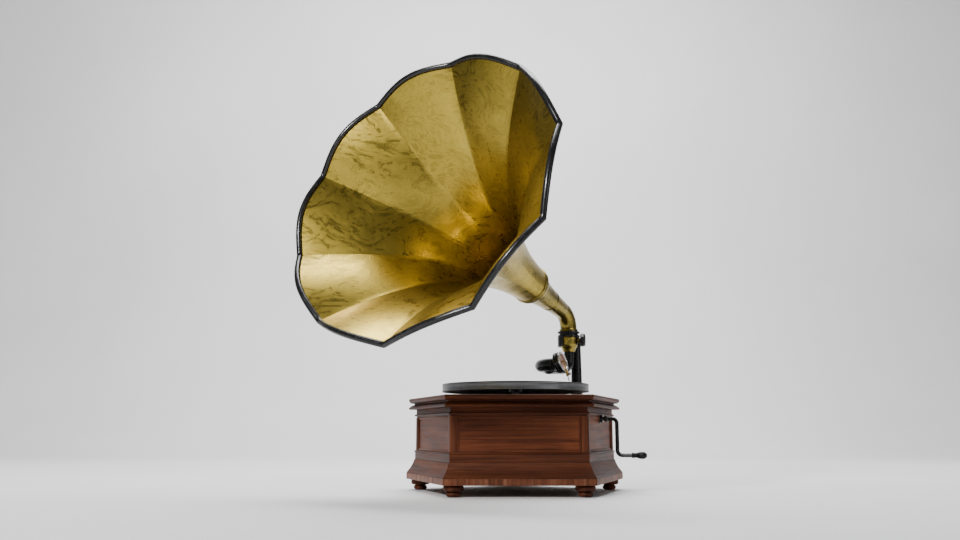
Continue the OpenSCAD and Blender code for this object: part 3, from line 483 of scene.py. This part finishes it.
def petal(k, rows=56, columns=26):
    """One petal: two skins of sheet brass, with the lap seam's fold standing inside along both edges."""
    middle = (k - 0.5) * 360 / PETALS
    s = Shape()

    def skin(t):
        grid = []
        for i in range(rows + 1):
            u = (i / rows) ** 0.85
            row = []
            for j in range(columns + 1):
                f = 2 * j / columns - 1
                fold = 0.45 * max(0, 1 - (1 - abs(f)) * columns / 2.2) ** 2 if t else 0
                r, z = bell_point(u, f, t + fold)
                place = horn_point(r, middle + HALF_PETAL * f, z)
                row.append((place, Vector((u * 0.3, f * 0.05, k))))
            grid.append(row)
        return grid

    outer, inner = skin(0), skin(SHEET_T)
    s.grid(outer)
    s.grid(inner, flip=True)
    for edge in (0, columns):
        s.grid([[row[edge] for row in outer], [row[edge] for row in inner]])
    for edge in (0, rows):
        s.grid([outer[edge], inner[edge]])
    s.finish(f"petal_{k:02d}_sheet", "horn", HORN_BRASS, f"petal_{k:02d}", 60)


for k in range(1, PETALS + 1):
    petal(k)


def rolled_rim(steps=32, sides=20):
    """The rolled edge, which follows the petals' wavy ends all the way round."""
    s = Shape()
    rows = []
    for k in range(PETALS):
        for j in range(steps):
            f = 2 * j / steps - 1
            r, z = bell_point(1, f, 0)
            angle = (k + 0.5) * 360 / PETALS + HALF_PETAL * f
            row = []
            for q in range(sides):
                w = 2 * math.pi * q / sides
                out, forward = ROLL_R * math.cos(w), ROLL_R * math.sin(w)
                place = horn_point(r + ROLL_OUT + out, angle, z + EDGE_BACK + forward)
                row.append((place, Vector((k + j / steps, w, 0)) * 0.01))
            rows.append(row)
    s.grid(rows, close_rows=True, close_columns=True)
    s.finish("horn_rim_roll", "horn", RIM_ENAMEL, "horn_rim", 75)


rolled_rim()

# The neck: a cone of sheet brass in two lengths, with a raised seam and two ring beads under the bell
NECK_SEAM = -385
NECK_OUT = [
    (15.0, -ELBOW_START), (18.0, NECK_SEAM - 1.6), (19.0, NECK_SEAM - 0.6), (19.4, NECK_SEAM),
    (18.9, NECK_SEAM + 1), (18.6, NECK_SEAM + 2.4), (22.5, -355), (26.5, -337), (29.6, -327.4),
    (31.4, -326), (33.0, -325), (33.6, -323.4), (33.0, -321.8), (31.9, -321), (32.4, -320.6),
    (34.2, -319.8), (34.9, -318), (34.2, -316.4), (33.3, -315.4),
]
NECK_IN = [(32.2, -315.4), (29, -327), (25.5, -337), (21.5, -355), (17.3, NECK_SEAM), (14, -ELBOW_START)]


def neck():
    s = Shape()
    s.lathe(eased(NECK_OUT + NECK_IN, 1.2, 3), HORN, 96)
    s.finish("horn_neck_cone", "horn", NECK_BRASS, "horn_neck", 50)


def elbow():
    """The spigot that turns in the throat cup, the lip it rests on, and the bend up to the neck."""
    collar_top = level("bracket", True)
    stations = [((0, 0, collar_top - 12), 14.3), ((0, 0, collar_top), 14.3), ((0, 0, collar_top + 0.3), 16.2),
                ((0, 0, collar_top + 0.9), 17), ((0, 0, Z_LIP - 0.9), 17), ((0, 0, Z_LIP - 0.2), 16.4),
                ((0, 0, Z_LIP), 15.2)]
    for i in range(1, 25):
        a = math.radians((90 - HORN_EL) * i / 24)
        stations.append(((ELBOW_BEND * (1 - math.cos(a)), 0, Z_LIP + ELBOW_BEND * math.sin(a)), 15))
    s = Shape()
    s.tube(stations, SWIVEL @ turned("Z", HORN_AZ), 48)
    s.finish("horn_elbow_tube", "horn", NECK_BRASS, "horn_elbow", 40)


neck()
elbow()


# ---------------------------------------------------------------- bracket, cup, clamp
# The post and its two screwed ears stand on the lid; the cup and the collar are round the swivel
POST_AT = (116.5, 97)
Z_SWIVEL, CUP_H, COLLAR_H, LEDGE = 244, 27, 10, 13
Z_COLLAR = Z_SWIVEL + CUP_H + 0.3
Z_TOP = level("motor_board", True)
EAR_AZ, EAR_D, EAR_R, CLAMP_AZ, CLAMP_H = (-36, 144), 17, 6.5, -8, 22


def bracket():
    s = Shape()
    post = CASE @ moved(*POST_AT, 0)
    s.lathe(eased([(0, Z_TOP), (13, Z_TOP), (13, Z_TOP + 3), (12, Z_TOP + 4), (11.6, Z_TOP + 5),
                   (10.6, Z_TOP + 9), (10.3, Z_TOP + 14), (8.6, Z_COLLAR - 12), (8.5, Z_COLLAR - 2),
                   (7.6, Z_COLLAR), (0, Z_COLLAR)], 1.0), post)
    for a in EAR_AZ:
        ear = post @ turned("Z", a)
        s.lathe(eased([(0, Z_TOP), (EAR_R, Z_TOP), (EAR_R, Z_TOP + 4), (0, Z_TOP + 4)], 1.0),
                ear @ moved(EAR_D, 0, 0), 36)
        s.block((0, -EAR_R, Z_TOP), (EAR_D, EAR_R, Z_TOP + 4), ear, 0.5)
    yoke = [(17.7, Z_COLLAR - 18), (20.3, Z_COLLAR - 18), (20.3, Z_COLLAR + 0.5), (17.7, Z_COLLAR + 0.5)]
    s.lathe(eased(yoke, 0.7), SWIVEL, 56, arc=(28, 230))
    s.lathe(eased([(14.6, Z_COLLAR), (20.3, Z_COLLAR), (20.3, Z_COLLAR + 3.2), (17.4, Z_COLLAR + 3.8),
                   (17, Z_COLLAR + 5), (17.4, Z_COLLAR + 6.2), (20.3, Z_COLLAR + 6.8),
                   (20.3, Z_COLLAR + COLLAR_H), (14.6, Z_COLLAR + COLLAR_H)], 0.6), SWIVEL, 72)
    s.finish("bracket_casting", "case", ENAMEL, "bracket", 40)


bracket()

# The clamp knob's own frame: +Z out of the throat cup's side
CLAMP = SWIVEL @ moved(0, 0, Z_SWIVEL + CLAMP_H) @ turned("Z", CLAMP_AZ) @ turned("Y", 90)


def throat_cup():
    s = Shape()
    cup = [(9.05, 0), (11, 0), (11.7, 2.6), (13, 6), (15.4, 10), (16.6, 14), (16.8, 23), (17.3, 24),
           (17.3, CUP_H), (14.35, CUP_H), (14.35, LEDGE), (9.05, LEDGE)]
    s.lathe(eased([(r, Z_SWIVEL + z) for r, z in cup], 0.8), SWIVEL, 72)
    s.lathe(eased([(2.15, 16), (4.6, 16), (4.6, 19.4), (2.15, 19.4)], 0.4), CLAMP, 36)
    s.finish("throat_cup_turned", "case", NECK_BRASS, "throat_cup", 40)


throat_cup()


def fluted(angle, r, z):
    """The clamp knob's rim, with 24 flutes."""
    return r - 0.45 * (0.5 + 0.5 * math.cos(angle * 24)) if r > 11.4 else r


def clamp_knob():
    s = Shape()
    knob = [(0, 14.6), (2.1, 14.6), (2.1, 19.7), (4, 19.7), (4, 21.2), (10.6, 21.2), (12, 22.2),
            (12, 27.8), (10.2, 30.6), (4, 31.2), (0, 31.2)]
    s.lathe(eased(knob, 0.7), CLAMP, 144, fluted)
    s.finish("clamp_knob_turned", "clamp_knob", ENAMEL, "clamp_knob", 40)


clamp_knob()


# ---------------------------------------------------------------- tone arm and sound box
def tone_arm():
    """From the flange that hangs in the throat cup, round the elbow and down the tapered leg."""
    neck_r, leg_r = 9, 12.6
    flange_z = Z_SWIVEL + LEDGE + 0.3 - Z_ARM
    stations = [((0, 0, flange_z + 1.6), 12.1), ((0, 0, flange_z + 1.4), 12.3),
                ((0, 0, flange_z + 0.1), 12.3), ((0, 0, flange_z), 9.2), ((0, 0, flange_z - 0.1), neck_r)]
    for i in range(17):
        a = math.radians(90 * i / 16)
        stations.append(((ELBOW_R * (1 - math.cos(a)), 0, ELBOW_R * (1 - math.sin(a))), neck_r))
    stations += [((ELBOW_R + 0.3, 0, 0), neck_r + 0.9), ((ELBOW_R + 0.9, 0, 0), neck_r + 1.6),
                 ((ELBOW_R + 2, 0, 0), neck_r + 1.8), ((LEG_L - 5.2, 0, 0), leg_r),
                 ((LEG_L - 5, 0, 0), leg_r + 0.1), ((LEG_L - 4.4, 0, 0), leg_r),
                 ((LEG_L - 0.8, 0, 0), leg_r), ((LEG_L, 0, 0), leg_r - 0.7)]
    s = Shape()
    s.tube(stations, LEG, 56)
    s.finish("tone_arm_tube", "tone_arm", ENAMEL, "tone_arm", 34)


def gooseneck():
    """The bent tube, which stops inside the sound box's back."""
    tube_r, turn = 10.6, BEND_TURN - 7
    stations = [((LEG_L - 13.7, 0, 0), tube_r), ((LEG_L, 0, 0), tube_r)]
    for i in range(1, 37):
        a = math.radians(turn * i / 36)
        stations.append(((LEG_L + BEND_R * math.sin(a), BEND_R * (1 - math.cos(a)), 0), tube_r))
    s = Shape()
    s.tube(stations, LEG, 48)
    s.finish("gooseneck_tube", "gooseneck", ENAMEL, "gooseneck", 40)


def sound_box():
    s = Shape()
    s.lathe(eased([(0, -14), (9, -14), (9.4, -12.4), (11, -12), (BOX_R - 2, -12), (BOX_R, -10.6), (BOX_R, -7),
                   (BOX_R - 0.8, -6.4), (BOX_R - 0.8, -5.6), (BOX_R, -5), (BOX_R, -1), (BOX_R - 3, -1),
                   (BOX_R - 3, -10), (0, -10)], 0.5), BOX, 96)
    s.finish("sound_box_shell", "gooseneck", ENAMEL, "sound_box", 40)

    s = Shape()
    ring = [(BOX_R - 4, -1), (BOX_R, -1), (BOX_R, 0.4), (BOX_R - 1, 1), (BOX_R - 3.2, 1), (BOX_R - 4, 0.2)]
    s.lathe(eased(ring, 0.3), BOX, 96)
    for k in range(6):
        place = BOX @ turned("Z", 30 + 60 * k) @ moved(BOX_R - 2, 0, 0)
        s.lathe(eased([(0, 0.9), (1.1, 0.9), (1.1, 1.15), (0.6, 1.45), (0, 1.5)], 0.1), place, 16)
    s.finish("sound_box_front_ring", "gooseneck", NICKEL, "box_ring", 40)

    s = Shape()
    face_r = BOX_R - 3.2
    ripples = [(1.6 + 11.2 * i / 44, -1.6 + 0.12 * math.cos(i * 2 * math.pi / 6)) for i in range(45)]
    s.lathe([(0, -1.4), (1.5, -1.4)] + ripples + [(face_r, -1.6), (face_r, -2.4), (0, -2.4)], BOX, 96)
    s.finish("diaphragm_disc", "gooseneck", COPPER, "diaphragm", 50)


tone_arm()
gooseneck()
sound_box()


# ---------------------------------------------------------------- turntable
Z_PLATE, Z_FELT, Z_RIM = level("turntable", True), level("turntable_felt", True), level("turntable")


def turntable():
    rim = TABLE_R - 0.4
    outline = [(4.05, Z_RIM + 0.3), (11, Z_RIM + 0.3), (11, Z_PLATE - 1.6), (TABLE_R - 1.6, Z_PLATE - 1.6),
               (TABLE_R - 1.6, Z_RIM), (TABLE_R - 0.2, Z_RIM), (TABLE_R, Z_RIM + 0.4), (TABLE_R, Z_RIM + 2),
               (rim, Z_RIM + 2.4), (rim, Z_PLATE - 2.4), (TABLE_R, Z_PLATE - 2), (TABLE_R, Z_PLATE),
               (4.05, Z_PLATE)]
    s = Shape()
    s.lathe(eased(outline, 0.35, 2), CASE, 192)
    s.finish("turntable_plate", "turntable", TABLE_METAL, "turntable", 40)


def ragged(angle, r, z):
    """The felt's edge, cut by hand."""
    return r + 0.12 * math.sin(angle * 61) + 0.1 * math.sin(angle * 97 + 1) if r > TABLE_R - 2 else r


def felt():
    edge, hole = TABLE_R - 0.6, 3.65
    s = Shape()
    s.lathe(eased([(hole, Z_PLATE), (edge, Z_PLATE), (edge, Z_FELT), (hole, Z_FELT)], 0.5), CASE, 240, ragged)
    s.finish("turntable_felt_disc", "turntable", FELT, "turntable_felt", 60)


turntable()
felt()


# ---------------------------------------------------------------- case
Z_BAND, Z_PLINTH, Z_RAIL = level("base_band"), level("plinth"), level("base_rail")
Z_PANEL, Z_FRIEZE = level("side_panels"), level("frieze_rail")
Z_CORNICE, Z_LID = level("cornice"), level("motor_board")
SHOULDER = apothem(WALL_SIDE + 4)


def base():
    """The crossbanded strip and the hollow-faced plinth over it."""
    s = Shape()
    band = [(INNER, Z_BAND), (PLINTH, Z_BAND), (PLINTH, Z_PLINTH), (INNER, Z_PLINTH)]
    s.moulding(eased(band, 0.9), cross=True)
    s.finish("base_band_veneer", "case", BANDING, "base_band")

    s = Shape()
    face, top, step, hollow = PLINTH - 0.4, apothem(WALL_SIDE + 3), 1.6, 1.5
    slope = [(face, Z_PLINTH), (face, Z_PLINTH + step)]
    for i in range(1, 13):
        t = i / 12
        slope.append((face + (top - face) * t - hollow * math.sin(math.pi * t),
                      Z_PLINTH + step + (Z_RAIL - Z_PLINTH - step) * t))
    s.moulding([(INNER, Z_PLINTH)] + slope + [(INNER, Z_RAIL)])
    s.finish("plinth_moulding", "case", MAHOGANY, "plinth")


def rails():
    """The rails under and over the panels, each with a bead, and the cornice under the lid."""
    s = Shape()
    bead, flat = SHOULDER, apothem(WALL_SIDE + 1.5)
    s.moulding(eased([(INNER, Z_RAIL), (flat, Z_RAIL), (flat, Z_PANEL - 3.6), (bead - 1, Z_PANEL - 3.4),
                      (bead, Z_PANEL - 2.7), (bead, Z_PANEL - 1.9), (bead - 1, Z_PANEL - 1.2),
                      (WALL, Z_PANEL - 1), (WALL, Z_PANEL), (INNER, Z_PANEL)], 0.4))
    s.finish("base_rail_moulding", "case", MAHOGANY, "base_rail")

    s = Shape()
    low, bead, high = apothem(WALL_SIDE - 2), apothem(WALL_SIDE + 3), apothem(WALL_SIDE - 1)
    s.moulding(eased([(INNER, Z_FRIEZE), (low, Z_FRIEZE), (low, Z_FRIEZE + 2), (bead - 1, Z_FRIEZE + 2.1),
                      (bead, Z_FRIEZE + 3), (bead, Z_FRIEZE + 5), (bead - 1, Z_FRIEZE + 5.9),
                      (high, Z_FRIEZE + 6), (high, Z_CORNICE), (INNER, Z_CORNICE)], 0.4))
    s.finish("frieze_moulding", "case", MAHOGANY, "frieze_rail")

    s = Shape()
    s.moulding(eased([(INNER, Z_CORNICE), (LID - 1, Z_CORNICE), (LID, Z_CORNICE + 1), (LID, Z_CORNICE + 4),
                      (LID - 2.4, Z_CORNICE + 5), (LID - 4.6, Z_CORNICE + 7), (SHOULDER + 1, Z_LID - 0.8),
                      (SHOULDER, Z_LID), (INNER, Z_LID)], 0.8))
    s.finish("cornice_moulding", "case", MAHOGANY, "cornice")


def lid_board(s, board):
    """The lid's middle board, level with its frame, with a hole for the spindle."""
    spindle_hole, ring = 9, 96
    for z, up in ((Z_TOP, True), (Z_LID + 0.5, False)):
        rows = []
        for outer in (False, True):
            row = []
            for i in range(ring):
                degrees = 360 * i / ring + 18
                # how far this direction is from the middle of its side
                from_side = (degrees + 126) % 72 - 36
                r = board / math.cos(math.radians(from_side)) if outer else spindle_hole
                p = Vector((r * math.cos(math.radians(degrees)), r * math.sin(math.radians(degrees)), z))
                row.append((CASE @ p, p * MM))
            rows.append(row)
        s.grid(rows, close_columns=True, flip=not up)


def lid():
    s = Shape()
    board = 120
    s.moulding(eased([(board, Z_LID), (SHOULDER, Z_LID), (SHOULDER, Z_LID + 1.4), (LID - 3, Z_LID + 2.2),
                      (LID - 1.4, Z_LID + 4), (LID, Z_LID + 5.6), (LID, Z_TOP - 1.6),
                      (LID - 1.4, Z_TOP - 0.2), (LID - 3, Z_TOP), (board, Z_TOP)], 0.7))
    lid_board(s, board)
    s.finish("lid_frame", "case", MAHOGANY, "motor_board", 28)


def corner_post(k):
    """A post that wraps the case's corner, with a face along each of the two sides that meet there."""
    half = math.radians(180 / SIDES)
    corner, inside = (WALL / math.cos(half), 0), (INNER / math.cos(half), 0)
    ends = []
    for side in (-1, 1):
        face = Vector(corner) + Vector((-math.sin(half), side * math.cos(half))) * POST_W
        back = face - Vector((math.cos(half), side * math.sin(half))) * WALL_T
        ends.append((tuple(face), tuple(back)))
    (face_0, back_0), (face_1, back_1) = ends
    loop = eased([face_0, corner, face_1, back_1, inside, back_0], 1.1)
    turn = CASE @ turned("Z", CORNER_AZ[k])
    rows = []
    for z in (Z_PANEL, Z_PANEL + 0.5, Z_FRIEZE - 0.5, Z_FRIEZE):
        rows.append([(turn @ Vector((x, y, z)), Vector((z + k * 77, y, x)) * MM) for x, y in loop])
    s = Shape()
    vs = s.grid(rows, close_columns=True)
    s.bm.faces.new(vs[0])
    s.bm.faces.new(vs[-1][::-1])
    s.finish(f"corner_post_{k + 1}", "case", MAHOGANY, None if k else "corner_posts")


def side_panel(k):
    """A sunk panel with an edging strip on its four sides."""
    s = Shape()
    turn = CASE @ turned("Z", SIDE_AZ[k])
    wide, out, edge = WALL_SIDE / 2 - POST_W, WALL - 3, 3.2
    back, front, lap = out - 0.5, out + 1.6, wide - edge * 0.4
    s.block((out - 8, -wide, Z_PANEL), (out, wide, Z_FRIEZE), turn, 0)
    for y in (-wide, wide - edge):
        s.block((back, y, Z_PANEL), (front, y + edge, Z_FRIEZE), turn, 0.7, True)
    for z in (Z_PANEL, Z_FRIEZE - edge):
        s.block((back, -lap, z), (front, lap, z + edge), turn, 0.7)
    s.finish(f"side_panel_{k + 1}", "case", PANEL_WOOD, None if k else "side_panels")


FOOT = [(0, 0), (7, 0), (9.5, 0.8), (11.3, 2.5), (11.9, 4.5), (11.3, 6.5), (9.5, 8.2), (8.8, 9),
        (13.6, 9.3), (15.4, 10), (16.3, 11.6), (16.3, 15.6), (15.6, 17.2), (14.3, 18.5), (0, 18.5)]


def foot(k):
    s = Shape()
    s.lathe(eased(FOOT, 0.9), CASE @ turned("Z", CORNER_AZ[k]) @ moved(FOOT_RING, 0, 0), 72)
    s.finish(f"foot_{k + 1}", "case", MAHOGANY, None if k else "feet", 45)


base()
rails()
lid()
for make in (corner_post, side_panel, foot):
    for k in range(SIDES):
        make(k)


# ---------------------------------------------------------------- crank
CRANK_OUT, HANDLE_IN, HANDLE_OUT = WALL + 26, WALL + 50, WALL + 73


def crank():
    """The bent rod with its collar, and the thin pin with a cap that the handle turns on."""
    local = CASE @ turned("Z", WIND_AZ)
    low = Z_WIND - THROW
    path = bent([(WALL - 17, 0, Z_WIND), (CRANK_OUT, 0, Z_WIND), (CRANK_OUT, 0, low),
                 (HANDLE_IN - 0.3, 0, low)], 8, 10)
    cap = [(0, 0), (3.4, 0), (3.4, 0.8), (2.4, 1.4), (0, 1.4)]
    collar = [(ROD_R, 0), (ROD_R + 1.8, 0), (ROD_R + 1.8, 5), (ROD_R, 5)]
    s = Shape()
    s.tube([(p, ROD_R) for p in path], local, 28)
    s.tube([((HANDLE_IN - 1, 0, low), 2.4), ((HANDLE_OUT + 0.3, 0, low), 2.4)], local, 20)
    s.lathe(eased(cap, 0.3), on_winding_axis(HANDLE_OUT + 0.3, THROW), 28)
    s.lathe(eased(collar, 0.6), on_winding_axis(WALL + 6), 36)
    s.finish("crank_rod", "crank", ENAMEL, "crank", 40)


def crank_handle():
    s = Shape()
    grip = [(2.45, 0), (4.2, 0), (4.8, 0.6), (4.8, 1.6), (4.3, 2.2), (4.1, 4), (3.9, 7), (4.4, 9),
            (5.2, 11.4), (5.8, 14), (6, 17), (5.7, 20), (4.9, 22), (3.9, 23), (2.45, 23)]
    s.lathe(eased(grip, 1.2), on_winding_axis(HANDLE_IN, THROW), 56)
    s.finish("crank_handle_turned", "crank_handle", BLACK_WOOD, "crank_handle", 50)


crank()
crank_handle()

# ---------------------------------------------------------------- CAD nodes that stay
BY_SLOT = {
    "mahogany": MAHOGANY, "banding": BANDING, "pine": PINE, "black_wood": BLACK_WOOD,
    "horn_brass": HORN_BRASS, "brass_screw": SCREW_BRASS, "gear_brass": GEAR_BRASS,
    "black_enamel": ENAMEL, "steel_plate": STEEL, "spring_steel": SPRING_STEEL, "nickel": NICKEL,
    "turntable_metal": TABLE_METAL, "felt": FELT, "diaphragm_face": COPPER,
}
slot_of = {part["node"]: part["material_slot"] for part in frame["record"]["subparts"]}
for name, node in nodes.items():
    node.data.materials.clear()
    node.data.materials.append(BY_SLOT[slot_of[name]])


# ---------------------------------------------------------------- room, light and camera
def room():
    """A pale floor that turns up into a pale wall."""
    m = Finish("pale_backdrop", Roughness=0.85)
    cloud = m.noise(m.place((1, 1, 1)), 1.3, 4, 0.5)
    m.colour(m.mix(m.range(cloud, 0, 1), (0.66, 0.66, 0.67), (0.72, 0.72, 0.725)))
    m.bump(m.noise(m.place((1, 1, 1)), 240, 3, 0.6), 0.05, 0.0006)
    profile = [(-6.0, 0.0), (2.2, 0.0)]
    for i in range(1, 13):
        a = math.pi / 2 * i / 12
        profile.append((2.2 + 1.0 * math.sin(a), 1.0 * (1 - math.cos(a))))
    profile.append((3.2, 5.0))
    mesh = bpy.data.meshes.new("backdrop")
    points = [(x, y, z) for y, z in profile for x in (-7, 7)]
    faces = [(2 * i, 2 * i + 1, 2 * i + 3, 2 * i + 2) for i in range(len(profile) - 1)]
    mesh.from_pydata(points, [], faces)
    for p in mesh.polygons:
        p.use_smooth = True
    mesh.materials.append(m.material)
    drop = bpy.data.objects.new("backdrop", mesh)
    bpy.context.scene.collection.objects.link(drop)


room()


def softbox(name, at, aim, size, power, colour=(1, 1, 1)):
    data = bpy.data.lights.new(name, "AREA")
    data.shape = "DISK"
    data.size, data.energy, data.color = size, power, colour
    lamp = bpy.data.objects.new(name, data)
    lamp.location = at
    lamp.rotation_euler = (Vector(aim) - Vector(at)).to_track_quat("-Z", "Y").to_euler()
    bpy.context.scene.collection.objects.link(lamp)


softbox("key_light", (-1.5, -2.6, 1.7), (0, 0, 0.3), 0.5, 120)
softbox("fill_light", (2.4, -1.8, 1.0), (0, 0, 0.3), 1.0, 10)
softbox("top_light", (0.1, 0.9, 2.7), (0, 0.9, 0.0), 2.4, 70)
softbox("wall_light", (0.0, 0.6, 2.8), (0, 3.2, 1.0), 2.4, 150)
world = bpy.data.worlds.new("studio")
bpy.context.scene.world = world
world.use_nodes = True
world.node_tree.nodes["Background"].inputs["Color"].default_value = (0.85, 0.86, 0.87, 1)
world.node_tree.nodes["Background"].inputs["Strength"].default_value = 0.16

# The camera stands in front, a little below the lid's height, and looks up at the horn
CAMERA_AT, CAMERA_PITCH = Vector((-61.4, -1631.65, 100.8)), 9.817
camera_data = bpy.data.cameras.new("camera")
camera_data.lens, camera_data.sensor_width = 35, 36
camera = bpy.data.objects.new("camera", camera_data)
camera.location = CENTRE + CAMERA_AT * MM
camera.rotation_euler = (math.radians(90 + CAMERA_PITCH), 0, 0)
bpy.context.scene.collection.objects.link(camera)
bpy.context.scene.camera = camera
